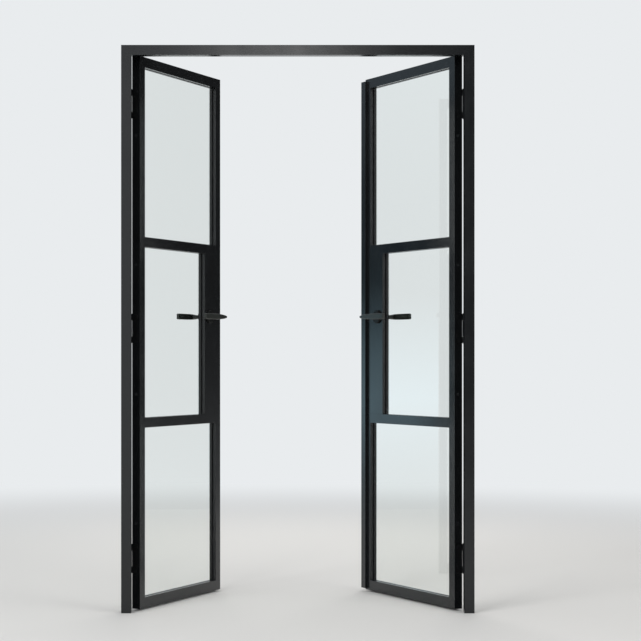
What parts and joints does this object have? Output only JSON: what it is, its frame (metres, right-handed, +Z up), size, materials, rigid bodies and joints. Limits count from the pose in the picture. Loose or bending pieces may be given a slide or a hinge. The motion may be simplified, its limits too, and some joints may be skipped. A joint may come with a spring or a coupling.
{
  "type": "french doors",
  "caption": "Black steel-look glazed internal double doors in a slim frame, standing open, with glazing bars, solid lock panels and lever handles.",
  "frame": {"origin": "floor level on the middle line of the doorway, half-way through the frame's depth", "axes": "+X to the right and +Y away, seen from the side that the leaves open away from; +Z up"},
  "size_m": [1.29, 0.6232, 2.0745],
  "materials": {
    "frame_coat": "satin powder coat",
    "lever_coat": "matt black",
    "rubber": "matt",
    "clear_glass": "clear float",
    "steel": "zinc plated"
  },
  "bodies": {
    "frame": {"head": "frame_coat", "head_bolt_keep": "frame_coat", "frame_corner_keys": "steel", "rebate_seal": "rubber", "left_jamb": "frame_coat", "left_hinge_frame_wings": "frame_coat", "left_hinge_pins": "frame_coat", "right_jamb": "frame_coat", "right_hinge_frame_wings": "frame_coat", "right_hinge_pins": "frame_coat"},
    "left_leaf": {"left_hinge_leaf_wings": "frame_coat", "left_hinge_stile": "frame_coat", "left_meeting_stile": "frame_coat", "left_top_rail": "frame_coat", "left_bottom_rail": "frame_coat", "left_upper_bar": "frame_coat", "left_lower_bar": "frame_coat", "left_lock_panel": "frame_coat", "left_rail_keys": "steel", "left_lower_pane": "clear_glass", "left_middle_pane": "clear_glass", "left_upper_pane": "clear_glass", "left_glazing_gaskets": "rubber", "left_glazing_beads": "frame_coat", "left_roses": "lever_coat", "left_latch_case": "steel", "left_faceplate": "frame_coat"},
    "right_leaf": {"right_hinge_leaf_wings": "frame_coat", "right_hinge_stile": "frame_coat", "right_meeting_stile": "frame_coat", "right_top_rail": "frame_coat", "right_bottom_rail": "frame_coat", "right_upper_bar": "frame_coat", "right_lower_bar": "frame_coat", "right_lock_panel": "frame_coat", "right_rail_keys": "steel", "right_lower_pane": "clear_glass", "right_middle_pane": "clear_glass", "right_upper_pane": "clear_glass", "right_glazing_gaskets": "rubber", "right_glazing_beads": "frame_coat", "right_roses": "lever_coat", "right_strike_plate": "frame_coat", "right_meeting_bar": "frame_coat", "right_bolt_plates": "frame_coat"},
    "left_handle": {"left_front_lever": "lever_coat", "left_rear_lever": "lever_coat", "left_spindle": "steel", "left_latch_follower": "steel"},
    "right_handle": {"right_front_lever": "lever_coat", "right_rear_lever": "lever_coat", "right_spindle": "steel"},
    "left_latch": {"left_latch_bolt": "steel"},
    "right_top_bolt": {"right_top_bolt": "steel"},
    "right_bottom_bolt": {"right_bottom_bolt": "steel"}
  },
  "joints": [
    {"name": "left_leaf_swing", "type": "hinge", "parent": "frame", "child": "left_leaf", "pos_m": [-0.618, 0.0435, 1.026], "axis": [0, 0, 1], "range_deg": [-62, 48]},
    {"name": "left_handle_turn", "type": "hinge", "parent": "left_leaf", "child": "left_handle", "pos_m": [-0.34784, 0.49728, 1.095], "axis": [0.8829, -0.4695, 0], "range_deg": [0, 40], "stiffness_Nm_per_rad": 1.2, "springref_deg": -45.84},
    {"name": "right_leaf_swing", "type": "hinge", "parent": "frame", "child": "right_leaf", "pos_m": [0.618, 0.0435, 1.026], "axis": [0, 0, 1], "range_deg": [-48, 62]},
    {"name": "right_handle_turn", "type": "hinge", "parent": "right_leaf", "child": "right_handle", "pos_m": [0.34784, 0.49728, 1.095], "axis": [0.8829, 0.4695, 0], "range_deg": [0, 40], "stiffness_Nm_per_rad": 1.2, "springref_deg": -45.84},
    {"name": "left_latch_slide", "type": "slide", "parent": "left_leaf", "child": "left_latch", "axis": [-0.4695, -0.8829, 0], "range_m": [0, 0.0112]},
    {"name": "right_top_bolt_slide", "type": "slide", "parent": "right_leaf", "child": "right_top_bolt", "axis": [0, 0, 1], "range_m": [0, 0.016]},
    {"name": "right_bottom_bolt_slide", "type": "slide", "parent": "right_leaf", "child": "right_bottom_bolt", "axis": [0, 0, -1], "range_m": [0, 0.016]}
  ],
  "couplings": [
    {"joint": "left_latch_slide", "follows": "left_handle_turn", "m_per_rad": 0.0158}
  ]
}
